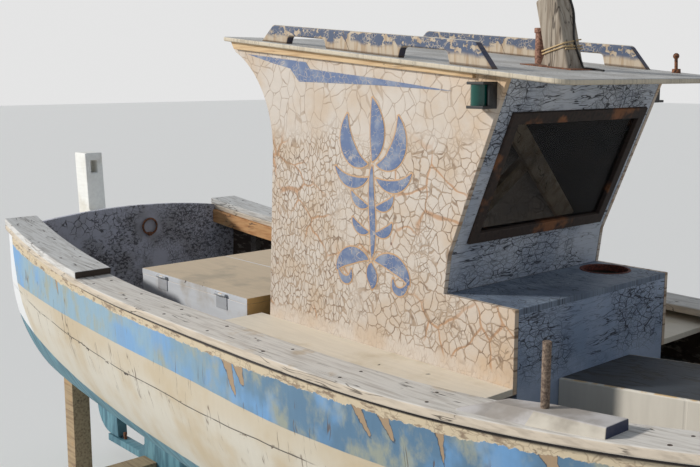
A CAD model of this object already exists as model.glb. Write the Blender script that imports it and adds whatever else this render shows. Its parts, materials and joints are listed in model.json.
"""Dresses a small wooden beach fishing boat with weathered paint, planks and fittings.

Every piece is in metres in the frame of the solids: X to the bow, Y to port, Z up.
"""

import json
import logging
import math
import random
from dataclasses import dataclass, field
from enum import Enum
from typing import Callable, Sequence, Union

import bmesh
import bpy
from mathutils import Matrix, Vector


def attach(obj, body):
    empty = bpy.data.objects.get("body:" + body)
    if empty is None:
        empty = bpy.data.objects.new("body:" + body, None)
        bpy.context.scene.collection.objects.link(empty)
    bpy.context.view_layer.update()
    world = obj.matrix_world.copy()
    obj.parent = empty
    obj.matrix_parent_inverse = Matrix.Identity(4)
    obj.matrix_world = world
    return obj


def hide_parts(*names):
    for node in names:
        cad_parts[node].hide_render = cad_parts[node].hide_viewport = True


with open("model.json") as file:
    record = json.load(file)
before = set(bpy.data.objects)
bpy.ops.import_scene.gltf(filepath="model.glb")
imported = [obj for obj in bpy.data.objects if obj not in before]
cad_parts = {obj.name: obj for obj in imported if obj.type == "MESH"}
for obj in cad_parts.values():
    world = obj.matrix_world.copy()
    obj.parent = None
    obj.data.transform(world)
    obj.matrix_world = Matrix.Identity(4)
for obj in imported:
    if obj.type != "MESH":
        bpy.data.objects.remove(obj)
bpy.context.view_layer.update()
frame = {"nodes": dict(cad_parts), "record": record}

LOG = logging.getLogger("boat")
BODY_OF = {node: body for body, nodes in frame["record"]["behaviour"]["bodies"].items() for node in nodes}
SLOT_OF = {part["node"]: part["material_slot"] for part in frame["record"]["subparts"]}

Colour = tuple[float, float, float, float]
Value = Union["Wire", float, tuple]


def paint(red: int, green: int, blue: int) -> Colour:
    """Turn a colour of 0 to 255 as a screen shows it into a linear one.

    Args:
        red: red part.
        green: green part.
        blue: blue part.

    Returns:
        The linear colour with an alpha of 1.
    """
    linear = []
    for part in (red, green, blue):
        share = part / 255
        linear.append(share / 12.92 if share <= 0.04045 else ((share + 0.055) / 1.055) ** 2.4)
    return (*linear, 1.0)


class Wire:
    """An output of a shader node, on which arithmetic adds Math nodes."""

    def __init__(self, tree: "Tree", socket: bpy.types.NodeSocket) -> None:
        """Keep the socket and the tree that it is in."""
        self.tree = tree
        self.socket = socket

    def __add__(self, other: Value) -> "Wire":
        """Sum of both."""
        return self.tree.math("ADD", self, other)

    def __radd__(self, other: Value) -> "Wire":
        """Sum of both."""
        return self.tree.math("ADD", other, self)

    def __sub__(self, other: Value) -> "Wire":
        """This less the other."""
        return self.tree.math("SUBTRACT", self, other)

    def __rsub__(self, other: Value) -> "Wire":
        """The other less this."""
        return self.tree.math("SUBTRACT", other, self)

    def __mul__(self, other: Value) -> "Wire":
        """Product of both."""
        return self.tree.math("MULTIPLY", self, other)

    def __rmul__(self, other: Value) -> "Wire":
        """Product of both."""
        return self.tree.math("MULTIPLY", other, self)

    def __truediv__(self, other: Value) -> "Wire":
        """This over the other."""
        return self.tree.math("DIVIDE", self, other)

    def __rtruediv__(self, other: Value) -> "Wire":
        """The other over this."""
        return self.tree.math("DIVIDE", other, self)

    def __pow__(self, other: Value) -> "Wire":
        """This to the power of the other."""
        return self.tree.math("POWER", self, other)

    def __abs__(self) -> "Wire":
        """Size of this without its sign."""
        return self.tree.math("ABSOLUTE", self)


class Tree:
    """Builds the nodes of one material or of the world."""

    def __init__(self, owner: bpy.types.Material | bpy.types.World) -> None:
        """Start without any nodes.

        Args:
            owner: material or world that the nodes belong to.
        """
        owner.use_nodes = True
        self.nodes = owner.node_tree.nodes
        self.links = owner.node_tree.links
        self.nodes.clear()

    def feed(self, socket: bpy.types.NodeSocket, value: Value) -> None:
        """Link a wire to a socket, or set the socket to a plain value.

        Args:
            socket: input of a node.
            value: wire or plain value for it.
        """
        if isinstance(value, Wire):
            self.links.new(value.socket, socket)
        elif socket.type == "VECTOR":
            socket.default_value = tuple(value)[:3]
        else:
            socket.default_value = value

    def node(self, kind: str, settings: dict | None = None, inputs: dict | None = None) -> bpy.types.Node:
        """Make any node.

        Args:
            kind: node type.
            settings: properties, set before the inputs.
            inputs: values or wires by the socket's name or number.

        Returns:
            The new node.
        """
        made = self.nodes.new(kind)
        for key, value in (settings or {}).items():
            setattr(made, key, value)
        for key, value in (inputs or {}).items():
            self.feed(made.inputs[key], value)
        return made

    def wire(self, kind: str, settings: dict | None = None, inputs: dict | None = None,
             output: str | int = 0) -> Wire:
        """Make any node and return one of its outputs.

        Args:
            kind: node type.
            settings: properties, set before the inputs.
            inputs: values or wires by the socket's name or number.
            output: name or number of the output.

        Returns:
            The output as a wire.
        """
        return Wire(self, self.node(kind, settings, inputs).outputs[output])

    def math(self, operation: str, *values: Value) -> Wire:
        """Math node of that operation on the values."""
        return self.wire("ShaderNodeMath", {"operation": operation}, dict(enumerate(values)))

    def vector(self, operation: str, *values: Value) -> Wire:
        """Vector Math node of that operation on the values."""
        return self.wire("ShaderNodeVectorMath", {"operation": operation}, dict(enumerate(values)))

    def top(self, first: Value, second: Value) -> Wire:
        """The larger of two values."""
        return self.math("MAXIMUM", first, second)

    def step(self, value: Value, start: float, end: float) -> Wire:
        """Smooth rise from 0 at start to 1 at end, or a fall where end is below start."""
        inputs = {"Value": value, "From Min": start, "From Max": end}
        return self.wire("ShaderNodeMapRange", {"interpolation_type": "SMOOTHSTEP"}, inputs)

    def band(self, value: Value, low: float, high: float, soft: float) -> Wire:
        """1 between low and high, with soft edges."""
        return self.step(value, low - soft, low + soft) * self.step(value, high + soft, high - soft)

    def place(self) -> Wire:
        """Object coordinates in metres."""
        return self.wire("ShaderNodeTexCoord", output="Object")

    def facing(self) -> tuple[Wire, Wire, Wire]:
        """Parts of the surface's direction along X, Y and Z."""
        return self.split(self.wire("ShaderNodeTexCoord", output="Normal"))

    def split(self, vector: Wire) -> tuple[Wire, Wire, Wire]:
        """Parts of a vector along X, Y and Z."""
        made = self.node("ShaderNodeSeparateXYZ", inputs={0: vector})
        return tuple(Wire(self, output) for output in made.outputs)

    def join(self, x: Value, y: Value, z: Value = 0.0) -> Wire:
        """Vector from its parts."""
        return self.wire("ShaderNodeCombineXYZ", inputs={0: x, 1: y, 2: z})

    def stretch(self, vector: Wire, by: Sequence[float]) -> Wire:
        """Vector multiplied by a factor along each axis."""
        return self.vector("MULTIPLY", vector, tuple(by))

    def noise(self, vector: Wire, scale: float = 1.0, detail: float = 3.0, rough: float = 0.55) -> Wire:
        """Noise value around a half."""
        inputs = {"Vector": vector, "Scale": scale, "Detail": detail, "Roughness": rough}
        return self.wire("ShaderNodeTexNoise", inputs=inputs)

    def warp(self, vector: Wire, scale: float, amount: float) -> Wire:
        """Shift a vector by noise, so that a pattern on it loses its straight lines.

        Args:
            vector: coordinates to shift.
            scale: scale of the noise.
            amount: about twice the largest shift.

        Returns:
            The shifted vector.
        """
        shift = self.wire("ShaderNodeTexNoise", inputs={"Vector": vector, "Scale": scale, "Detail": 2.0},
                          output="Color")
        centred = self.vector("SUBTRACT", shift, (0.5, 0.5, 0.5))
        return self.vector("ADD", vector, self.stretch(centred, (amount,) * 3))

    def edges(self, vector: Wire) -> Wire:
        """Distance to the nearest cell edge of a Voronoi pattern with cells of about 1."""
        settings = {"feature": "DISTANCE_TO_EDGE"}
        return self.wire("ShaderNodeTexVoronoi", settings, {"Vector": vector, "Scale": 1.0}, "Distance")

    def cracks(self, vector: Wire, cells: Sequence[float], faint: float, full: float,
               width: Value = 1.0) -> Wire:
        """Cracks between the cells of a Voronoi pattern.

        Args:
            vector: coordinates.
            cells: cells in a metre along each axis.
            faint: distance from a cell's edge at which a crack begins, in cells.
            full: distance at which it is at its darkest.
            width: factor on both distances.

        Returns:
            1 in the middle of a crack.
        """
        return self.step(self.edges(self.stretch(vector, cells)) / width, faint, full)

    def patches(self, vector: Wire, scale: float, detail: float, low: float, high: float) -> Wire:
        """Patches that start where noise of that scale passes low, and are full at high."""
        return self.step(self.noise(vector, scale, detail), low, high)

    def spots(self, vector: Wire, size: float, share: float) -> Wire:
        """Spots scattered over some of the cells.

        Args:
            vector: coordinates with cells of about 1.
            size: radius of a spot in cells.
            share: share of the cells that have a spot.

        Returns:
            1 inside a spot.
        """
        cells = self.node("ShaderNodeTexVoronoi", {"feature": "F1"}, {"Vector": vector, "Scale": 1.0})
        chosen = self.step(self.split(Wire(self, cells.outputs["Color"]))[0], share + 0.01, share - 0.01)
        return self.step(Wire(self, cells.outputs["Distance"]), size, size * 0.6) * chosen

    def mix(self, share: Value, first: Value, second: Value) -> Wire:
        """Blend two colours.

        Args:
            share: 0 for the first colour to 1 for the second.
            first: first colour.
            second: second colour.

        Returns:
            The blended colour.
        """
        made = self.node("ShaderNodeMix", {"data_type": "RGBA", "clamp_factor": True})
        for index, value in zip((0, 6, 7), (share, first, second)):
            self.feed(made.inputs[index], value)
        return Wire(self, made.outputs[2])

    def shade(self, colour: Value, amount: Value) -> Wire:
        """Colour multiplied by a number."""
        return self.vector("MULTIPLY", colour, self.join(amount, amount, amount))

    def surface(self, colour: Value, rough: Value, height: Value | None = None, metal: Value = 0.0,
                alpha: Value = 1.0, settings: dict | None = None) -> None:
        """Close the material with a principled shader.

        Args:
            colour: base colour.
            rough: roughness.
            height: relief in metres, if any.
            metal: metallic share.
            alpha: opacity.
            settings: other sockets and their constant values.
        """
        inputs = {"Base Color": colour, "Roughness": rough, "Metallic": metal, "Alpha": alpha}
        inputs.update(settings or {})
        if height is not None:
            inputs["Normal"] = self.wire("ShaderNodeBump", inputs={"Height": height, "Distance": 1.0})
        shader = self.wire("ShaderNodeBsdfPrincipled", inputs=inputs)
        self.node("ShaderNodeOutputMaterial", inputs={"Surface": shader})


@dataclass(frozen=True)
class Sheer:
    """The line where the planking ends at the top, as seen from the side."""

    transom_x: float = -2.268
    bow_x: float = 2.715
    aft_x: float = -0.9
    fore_x: float = 0.4
    low_z: float = 1.288
    transom_z: float = 1.396
    bow_z: float = 1.58

    def radii(self) -> tuple[float, float]:
        """Work out the two arcs of the line.

        Returns:
            Radii of the after and the fore arc.
        """
        radii = []
        for run, rise in ((self.aft_x - self.transom_x, self.transom_z - self.low_z),
                          (self.bow_x - self.fore_x, self.bow_z - self.low_z)):
            radii.append((run**2 + rise**2) / (2 * rise))
        return tuple(radii)

    def height(self, x: float) -> float:
        """Work out the height of the line.

        Args:
            x: place along the boat.

        Returns:
            Height of the line there.
        """
        aft, fore = self.radii()
        if x < self.aft_x:
            return self.low_z + aft - math.sqrt(aft**2 - (self.aft_x - x) ** 2)
        if x > self.fore_x:
            return self.low_z + fore - math.sqrt(fore**2 - (x - self.fore_x) ** 2)
        return self.low_z

    def wires(self, tree: Tree, x: Wire) -> tuple[Wire, Wire]:
        """Work out in a shader how far the line rises over its lowest height.

        Args:
            tree: tree of the material.
            x: place along the boat.

        Returns:
            The rise aft and the rise forward.
        """
        rises = []
        for radius, along in zip(self.radii(), (self.aft_x - x, x - self.fore_x)):
            ahead = tree.top(along, 0.0)
            rises.append(radius - tree.math("SQRT", radius**2 - ahead * ahead))
        return tuple(rises)


SHEER = Sheer()


@dataclass(frozen=True)
class RoofLine:
    """Roof of the wheelhouse as seen from the side, and how far its dressed boards stand over the solid."""

    aft_x: float = -0.735
    aft_z: float = 2.249
    fall: float = 0.08219
    thick: float = 0.016
    lift_aft: float = 0.030
    lift_fall: float = 0.0138
    touch: float = 0.004

    def solid(self, x: Value) -> Value:
        """Top of the solid roof at x, a number or a wire."""
        return self.aft_z - self.fall * (x - self.aft_x)

    def lift(self, x: float) -> float:
        """How far the dressed roof stands over the solid one at x."""
        return self.lift_aft - self.lift_fall * (x - self.aft_x)

    def top(self, x: float) -> float:
        """Top of the dressed roof at x."""
        return self.solid(x) + self.lift(x)

    def raised(self, place: Vector) -> Vector:
        """Place moved up with the roof."""
        return place + Vector((0.0, 0.0, self.lift(place.x)))

    def reached(self, place: Vector) -> Vector:
        """Place moved up with the roof where it touches the solid roof's underside."""
        touching = abs(place.z - self.solid(place.x) + self.thick) < self.touch
        return self.raised(place) if touching else place


ROOF_LINE = RoofLine()


@dataclass(frozen=True)
class Finish:
    """A finish that builds one material."""

    name: str

    def dress(self, tree: Tree) -> None:
        """Add the nodes of the finish to an empty tree."""
        raise NotImplementedError

    def material(self) -> bpy.types.Material:
        """Build the finish's material, or find it where it is built already.

        Returns:
            The material.
        """
        title = f"{self.name}_finish"
        known = bpy.data.materials.get(title)
        if known:
            return known
        made = bpy.data.materials.new(title)
        self.dress(Tree(made))
        return made


class Face(Enum):
    """Plane in which a flat panel's pattern lies."""

    SIDE = "side"
    FRONT = "front"
    TOP = "top"

    def lay(self, tree: Tree) -> tuple[Wire, Wire, Wire]:
        """Lay coordinates in the plane.

        Args:
            tree: tree of the material.

        Returns:
            Coordinates along the grain, across it, and both as a vector.
        """
        x, y, z = tree.split(tree.place())
        along, across = {Face.SIDE: (x, z), Face.FRONT: (y, z), Face.TOP: (x, y)}[self]
        return along, across, tree.join(along, across)


@dataclass(frozen=True)
class CrackedSide(Finish):
    """Cream paint of the wheelhouse sides, crazed in zones of several sizes."""

    cream: Colour = paint(205, 195, 184)
    cream_warm: Colour = paint(198, 180, 160)
    crack: Colour = paint(158, 133, 108)
    core: Colour = paint(104, 82, 66)
    halo: Colour = paint(178, 132, 92)
    inner: Colour = paint(34, 32, 32)
    inner_pale: Colour = paint(74, 66, 58)
    stain: Colour = paint(214, 170, 112)
    nail: Colour = paint(96, 52, 34)
    fine_x: tuple[float, float] = (0.0, -0.14)
    plain_z: tuple[float, float] = (1.88, 2.0)
    foot_z: tuple[float, float] = (1.318, 1.290)
    nail_x: tuple[float, float] = (0.08, 0.4)
    nail_z: tuple[float, float] = (1.33, 1.62)

    def dress(self, tree: Tree) -> None:
        """Add the nodes of the finish to an empty tree.

        Args:
            tree: the empty tree.
        """
        x, z, flat = Face.SIDE.lay(tree)
        drift = tree.noise(flat, 4.0, 2.0)
        wander = (drift - 0.5) * 0.3
        aft = tree.step(x + wander, *self.fine_x)
        high = tree.step(z + wander * 0.6, *self.plain_z)
        foot = tree.step(z + wander * 0.1, *self.foot_z)
        open_zone = (1 - high) * (1 - foot)
        soft = tree.warp(flat, 22.0, 0.034)
        loose = tree.warp(flat, 6.0, 0.12)
        width = tree.noise(flat, 27.0, 2.0) * 1.2 + 0.4
        fine = tree.cracks(soft, (60.0, 35.0, 1.0), 0.095, 0.032, width)
        middle = tree.cracks(soft, (28.0, 25.0, 1.0), 0.058, 0.020, width)
        small = tree.cracks(soft, (46.0, 50.0, 1.0), 0.085, 0.03, width)
        small = small * tree.patches(flat, 9.0, 2.0, 0.48, 0.60)
        wide = tree.cracks(loose, (6.5, 6.0, 1.0), 0.034, 0.008, width)
        wide = wide * tree.patches(flat, 3.1, 1.0, 0.47, 0.55) * (1 - foot)
        wide = wide * tree.step(z, self.plain_z[1] - 0.02, self.plain_z[0])
        thin = tree.cracks(loose, (22.0, 17.0, 1.0), 0.036, 0.012, width)
        hair = tree.cracks(soft, (70.0, 26.0, 1.0), 0.07, 0.02)
        cracked = tree.top(fine * aft, tree.top(middle, small * 0.7) * (1 - aft)) * open_zone
        cracked = tree.top(cracked, thin * high * 0.6)
        cracked = tree.top(cracked, hair * foot * 0.3)
        tone = tree.mix(tree.patches(flat, 6.0, 4.0, 0.40, 0.68), self.cream, self.cream_warm)
        tone = tree.shade(tone, 0.94 + tree.noise(flat, 45.0, 3.0) * 0.12)
        stain = tree.step(x, 0.30, 0.62) * 0.3 + tree.step(z, 2.05, 2.2) * tree.step(x, 0.1, 0.5) * 0.55
        tone = tree.mix(stain * tree.noise(flat, 12.0, 3.0) * 1.6, tone, self.stain)
        tone = tree.mix(wide * 0.8, tone, self.halo)
        tone = tree.mix(cracked * 0.74, tone, self.crack)
        deep = cracked * tree.patches(flat, 31.0, 2.0, 0.48, 0.66)
        tone = tree.mix(deep * 0.5, tone, self.core)
        moved = tree.vector("ADD", flat, (0.031, 0.012, 0.0))
        rust = tree.spots(tree.stretch(moved, (13.0, 12.0, 1.0)), 0.085, 0.2)
        rust = rust * tree.band(x, *self.nail_x, 0.03) * tree.band(z, *self.nail_z, 0.03)
        tone = tree.mix(rust, tone, self.nail)
        y = tree.split(tree.place())[1]
        inside = tree.step(tree.facing()[1] * tree.math("SIGN", y), -0.2, -0.6)
        grime = tree.noise(tree.stretch(flat, (6.0, 24.0, 1.0)), 1.0, 4.0)
        tone = tree.mix(inside, tone, tree.mix(grime, self.inner, self.inner_pale))
        relief = cracked * -0.0009 + wide * -0.0006 + tree.noise(flat, 160.0, 2.0) * 0.0003
        tree.surface(tone, 0.62 + cracked * 0.25, relief)


@dataclass(frozen=True)
class GrainCracks(Finish):
    """White paint over a panel whose grain runs level, split along it and into blocks."""

    face: Face = Face.FRONT
    white: Colour = paint(196, 202, 212)
    grey: Colour = paint(168, 177, 192)
    dark: Colour = paint(34, 34, 38)
    density: float = 1.0
    low_z: float = 0.0
    edge: Colour | None = None

    def dress(self, tree: Tree) -> None:
        """Add the nodes of the finish to an empty tree.

        Args:
            tree: the empty tree.
        """
        _, across, flat = self.face.lay(tree)
        soft = tree.warp(flat, 18.0, 0.03)
        width = tree.noise(flat, 19.0, 2.0) * 1.6 + 0.2
        blocks = tree.cracks(soft, (27.0, 48.0, 1.0), 0.055, 0.015, width)
        crumbs = tree.cracks(soft, (60.0, 85.0, 1.0), 0.09, 0.02, width)
        zone = tree.patches(flat, 4.0, 2.0, 0.40, 0.56)
        wave = tree.noise(tree.stretch(tree.warp(flat, 7.0, 0.05), (4.0, 27.0, 1.0)), 1.0, 3.0)
        long_split = tree.step(abs(wave - 0.5) / width, 0.016, 0.003)
        long_split = long_split * tree.patches(flat, 6.0, 2.0, 0.42, 0.52)
        hair_wave = tree.noise(tree.stretch(tree.warp(flat, 9.0, 0.03), (7.0, 75.0, 1.0)), 1.0, 2.0)
        hair = tree.step(abs(hair_wave - 0.5), 0.02, 0.004) * 0.45
        crazed = tree.top(blocks * zone, crumbs * zone * 0.45)
        dark = tree.top(crazed, tree.top(long_split, hair)) * self.density
        dark = dark * tree.step(across, self.low_z - 0.03, self.low_z + 0.09)
        tone = tree.mix(tree.patches(flat, 5.0, 4.0, 0.38, 0.66), self.white, self.grey)
        tone = tree.shade(tone, 0.92 + tree.noise(tree.stretch(flat, (12.0, 90.0, 1.0)), 1.0, 3.0) * 0.16)
        if self.edge:
            ragged = tree.noise(tree.place(), 60.0, 3.0) * 0.4
            tone = tree.mix(tree.step(tree.facing()[2] + ragged, 0.9, 0.7), tone, self.edge)
        tone = tree.mix(dark * 0.9, tone, self.dark)
        tree.surface(tone, 0.6 + dark * 0.3, dark * -0.0013)


@dataclass(frozen=True)
class Tongue:
    """A strip of peeled paint that hangs from the top of the blue band, in metres."""

    top_x: float
    tip_x: float
    tip_drop: float
    half: float


TONGUES = (
    Tongue(-0.185, -0.129, 0.142, 0.016),
    Tongue(-0.125, -0.085, 0.098, 0.020),
    Tongue(0.405, 0.476, 0.108, 0.013),
    Tongue(0.500, 0.560, 0.100, 0.014),
    Tongue(0.705, 0.722, 0.120, 0.008),
    Tongue(0.985, 1.045, 0.110, 0.016),
    Tongue(1.520, 1.575, 0.120, 0.014),
    Tongue(-1.585, -1.560, 0.100, 0.009),
)


@dataclass(frozen=True)
class HullPaint(Finish):
    """Outer paint of the hull: cream planks, a flaking blue band, and a teal bottom."""

    cream: Colour = paint(208, 202, 188)
    ivory: Colour = paint(196, 180, 152)
    crumb: Colour = paint(206, 190, 162)
    primer: Colour = paint(150, 132, 112)
    pale_blue: Colour = paint(140, 170, 188)
    sky_blue: Colour = paint(112, 160, 208)
    deep_blue: Colour = paint(88, 122, 150)
    patina: Colour = paint(160, 162, 142)
    white: Colour = paint(228, 231, 234)
    teal: Colour = paint(96, 142, 156)
    teal_dark: Colour = paint(62, 104, 120)
    dark: Colour = paint(46, 40, 38)
    inner: Colour = paint(58, 46, 38)
    inner_flake: Colour = paint(120, 112, 102)
    strip_crack: Colour = paint(132, 110, 88)
    tongue_grain: Colour = paint(178, 148, 112)
    upright_crack: Colour = paint(96, 76, 60)
    strip_drop: float = 0.038
    band_drop: float = 0.160
    band_more_fore: float = 0.02
    seam_drop: float = 0.262
    corner_x: float = -2.205
    water_z: float = 0.735
    water_aft_x: float = -1.0

    def peeled(self, tree: Tree, x: Wire, drop: Wire, ragged: Wire) -> tuple[Wire, Wire]:
        """Draw the peeled tongues.

        Args:
            tree: tree of the material.
            x: place along the boat.
            drop: depth under the sheer.
            ragged: small waver of the edges.

        Returns:
            Mask of the tongues and mask of their dark rims.
        """
        inside, rims = None, None
        for tongue in TONGUES:
            share = drop / tongue.tip_drop
            middle = tongue.top_x + share * (tongue.tip_x - tongue.top_x)
            flare = 1.2 + 1.6 * tree.top(0.55 - share, 0.0)
            reach = tongue.half * tree.math("SQRT", tree.top(1 - share * share, 0.0)) * flare
            gap = abs(x - middle + ragged * 1.2) - reach
            within = tree.step(share, 1.02, 0.97)
            body = tree.step(gap, 0.001, -0.001) * within
            rim = tree.step(gap, 0.005, 0.0) * tree.step(share, 1.08, 1.0)
            inside = body if inside is None else tree.top(inside, body)
            rims = rim if rims is None else tree.top(rims, rim)
        return inside, rims

    def blue_tone(self, tree: Tree, x: Wire, flat: Wire, drift: Wire) -> Wire:
        """Colour the band, bright at the transom, pale amidships and deeper forward.

        Args:
            tree: tree of the material.
            x: place along the boat.
            flat: coordinates in the side view.
            drift: broad noise over the hull.

        Returns:
            The band's colour.
        """
        ahead = tree.step(x + (drift - 0.5), -0.75, 0.3)
        band = tree.mix(ahead, self.pale_blue, self.deep_blue)
        band = tree.mix(tree.step(x + (drift - 0.5) * 0.5, -2.0, -2.15) * 0.8, band, self.sky_blue)
        smear = tree.noise(tree.stretch(tree.warp(flat, 6.0, 0.05), (9.0, 5.0, 1.0)), 1.0, 5.0, 0.65)
        band = tree.mix(tree.step(smear, 0.46, 0.64) * 0.8, band, self.patina)
        clear = tree.noise(tree.stretch(tree.vector("ADD", flat, (3.0, 0.0, 0.0)), (4.0, 3.0, 1.0)), 1.0, 4.0)
        return tree.mix(tree.step(clear, 0.50, 0.64) * 0.8, band, self.sky_blue)

    def dress(self, tree: Tree) -> None:
        """Add the nodes of the finish to an empty tree.

        Args:
            tree: the empty tree.
        """
        x, y, z = tree.split(tree.place())
        flat = tree.join(x, z)
        aft, fore = SHEER.wires(tree, x)
        drop = (SHEER.low_z + aft + fore) - z
        wobble = (tree.noise(tree.stretch(flat, (9.0, 2.0, 1.0)), 1.0, 3.0) - 0.5) * 0.026
        ragged = (tree.noise(tree.stretch(flat, (60.0, 30.0, 1.0)), 1.0, 3.0) - 0.5) * 0.02
        top_drop = self.strip_drop + wobble + ragged + aft * 0.15
        low_drop = self.band_drop + aft * 0.72 + tree.step(x, -0.5, 0.15) * self.band_more_fore + wobble * 0.2
        blue = tree.step(drop - top_drop, -0.001, 0.002) * tree.step(drop - low_drop, 0.002, -0.001)
        strip = tree.step(drop - top_drop, 0.002, -0.001)
        drift = tree.noise(flat, 3.0, 4.0)
        grain = tree.noise(tree.stretch(flat, (60.0, 9.0, 1.0)), 1.0, 3.0)
        tone = tree.mix(tree.step(drift, 0.42, 0.66), self.cream, self.ivory)
        tone = tree.shade(tone, 0.94 + grain * 0.12)
        tone = tree.mix(tree.step(drop, 0.30, 0.20) * 0.5, tone, self.ivory)
        tone = tree.mix(blue, tone, tree.shade(self.blue_tone(tree, x, flat, drift), 0.9 + grain * 0.2))
        worn = tree.step(tree.noise(tree.stretch(flat, (13.0, 40.0, 1.0)), 1.0, 5.0, 0.65), 0.52, 0.60)
        strip_tone = tree.mix(worn, self.crumb, self.primer)
        crumble = tree.cracks(tree.warp(flat, 20.0, 0.05), (34.0, 60.0, 1.0), 0.09, 0.02)
        crumble = crumble * tree.patches(flat, 13.0, 3.0, 0.42, 0.58)
        strip_tone = tree.mix(crumble * 0.5, strip_tone, self.strip_crack)
        tone = tree.mix(strip, tone, strip_tone)
        tongue, rim = self.peeled(tree, x, drop, ragged)
        below_strip = 1 - strip
        tone = tree.mix(rim * below_strip * 0.8, tone, self.dark)
        tone = tree.mix(tongue * below_strip, tone, tree.mix(grain, self.primer, self.tongue_grain))
        seam_wave = (tree.noise(tree.stretch(flat, (2.5, 0.2, 1.0)), 1.0, 2.0) - 0.5) * 0.03
        from_seam = abs(drop - self.seam_drop - seam_wave)
        flake = tree.noise(tree.stretch(flat, (26.0, 40.0, 1.0)), 1.0, 4.0)
        lost = tree.step(flake - from_seam * 7.0, 0.55, 0.57) * tree.patches(flat, 4.5, 2.0, 0.44, 0.54)
        tone = tree.mix(lost, tone, tree.mix(tree.step(flake, 0.58, 0.64), self.primer, self.dark))
        seam = tree.step(from_seam, 0.0026, 0.0008) * tree.patches(flat, 6.0, 2.0, 0.36, 0.46)
        tone = tree.mix(seam * 0.8, tone, self.dark)
        cap_seam = tree.band(drop, -0.006, 0.014, 0.003) * tree.step(x, -1.34, -1.25)
        tone = tree.mix(cap_seam, tone, self.dark)
        upright = tree.noise(tree.stretch(tree.warp(flat, 9.0, 0.04), (19.0, 1.5, 1.0)), 1.0, 2.0)
        cracks = tree.step(abs(upright - 0.5), 0.012, 0.003) * tree.patches(flat, 11.0, 2.0, 0.50, 0.60)
        cracks = cracks * tree.band(drop, 0.10, 0.36, 0.04)
        tone = tree.mix(cracks * 0.8, tone, self.upright_crack)
        nick_place = tree.warp(tree.stretch(flat, (15.0, 5.5, 1.0)), 2.0, 0.5)
        nicks = tree.spots(nick_place, 0.11, 0.32) * tree.band(drop, 0.03, 0.28, 0.015)
        tone = tree.mix(nicks, tone, self.dark)
        corner_shift = (tree.noise(flat, 30.0, 2.0) - 0.5) * 0.015 + tree.top(1.3 - z, 0.0) * 0.3
        corner = tree.step(x - corner_shift, self.corner_x + 0.004, self.corner_x)
        tone = tree.mix(corner * 0.9, tone, self.white)
        aft_run = tree.top(self.water_aft_x - x, 0.0)
        fore_run = tree.top(x, 0.0)
        paint_line = self.water_z + aft_run * aft_run * 0.15 + fore_run * fore_run * 0.03
        below = tree.step(z + (tree.noise(flat, 12.0, 2.0) - 0.5) * 0.012 - paint_line, 0.002, -0.002)
        streak = tree.noise(tree.stretch(flat, (30.0, 4.0, 1.0)), 1.0, 4.0)
        bottom = tree.mix(tree.step(streak, 0.38, 0.62), self.teal, self.teal_dark)
        tone = tree.mix(below, tone, tree.shade(bottom, 0.9 + grain * 0.2))
        inside = tree.step(tree.facing()[1] * tree.math("SIGN", y), -0.12, -0.3)
        rough_wood = tree.noise(tree.stretch(flat, (14.0, 40.0, 1.0)), 1.0, 5.0)
        lining = tree.mix(tree.step(rough_wood, 0.52, 0.60), self.inner, self.inner_flake)
        tone = tree.mix(inside, tone, lining)
        relief = strip * -0.0012 + lost * -0.0016 + seam * -0.003 + nicks * -0.002 + cracks * -0.0008
        relief = relief + streak * 0.0004 + blue * 0.0004 + tongue * -0.001
        tree.surface(tone, 0.58 + strip * 0.2, relief)


@dataclass(frozen=True)
class WeatheredWood(Finish):
    """Bare or thinly painted wood with grain along X and dark splits."""

    pale: Colour = paint(222, 217, 209)
    mid: Colour = paint(194, 187, 178)
    bare: Colour = paint(208, 168, 122)
    dark: Colour = paint(60, 50, 42)
    bare_share: float = 0.25
    edge_bare: float = 0.0
    end_dark: float = 0.0
    grain: tuple[float, float, float] = (5.0, 85.0, 85.0)

    def dress(self, tree: Tree) -> None:
        """Add the nodes of the finish to an empty tree.

        Args:
            tree: the empty tree.
        """
        place = tree.place()
        run = tree.stretch(tree.warp(place, 5.0, 0.02), self.grain)
        fibre = tree.noise(run, 1.0, 4.0)
        tone = tree.mix(tree.step(fibre, 0.40, 0.70), self.pale, self.mid)
        patch = tree.patches(place, 7.0, 4.0, 0.72 - self.bare_share * 0.5, 0.82 - self.bare_share * 0.5)
        ahead, _, up = tree.facing()
        side = tree.step(abs(up), 0.80, 0.50) * self.edge_bare
        bare = tree.mix(tree.step(fibre, 0.42, 0.62), self.bare, tree.shade(self.bare, 0.8))
        tone = tree.mix(tree.top(patch * 0.7, side), tone, bare)
        coarse = [part * 0.35 for part in self.grain]
        wave = tree.noise(tree.stretch(tree.warp(place, 6.0, 0.03), coarse), 1.0, 2.0)
        split = tree.step(abs(wave - 0.5), 0.012, 0.003) * tree.patches(place, 9.0, 2.0, 0.50, 0.60)
        tone = tree.mix(split * 0.85, tone, self.dark)
        speck = tree.spots(tree.stretch(place, (34.0, 42.0, 42.0)), 0.11, 0.06)
        tone = tree.mix(speck * 0.7, tone, self.dark)
        tone = tree.mix(tree.step(abs(ahead), 0.6, 0.8) * self.end_dark, tone, self.dark)
        tree.surface(tone, 0.78, fibre * 0.0006 - split * 0.0012)


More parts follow.
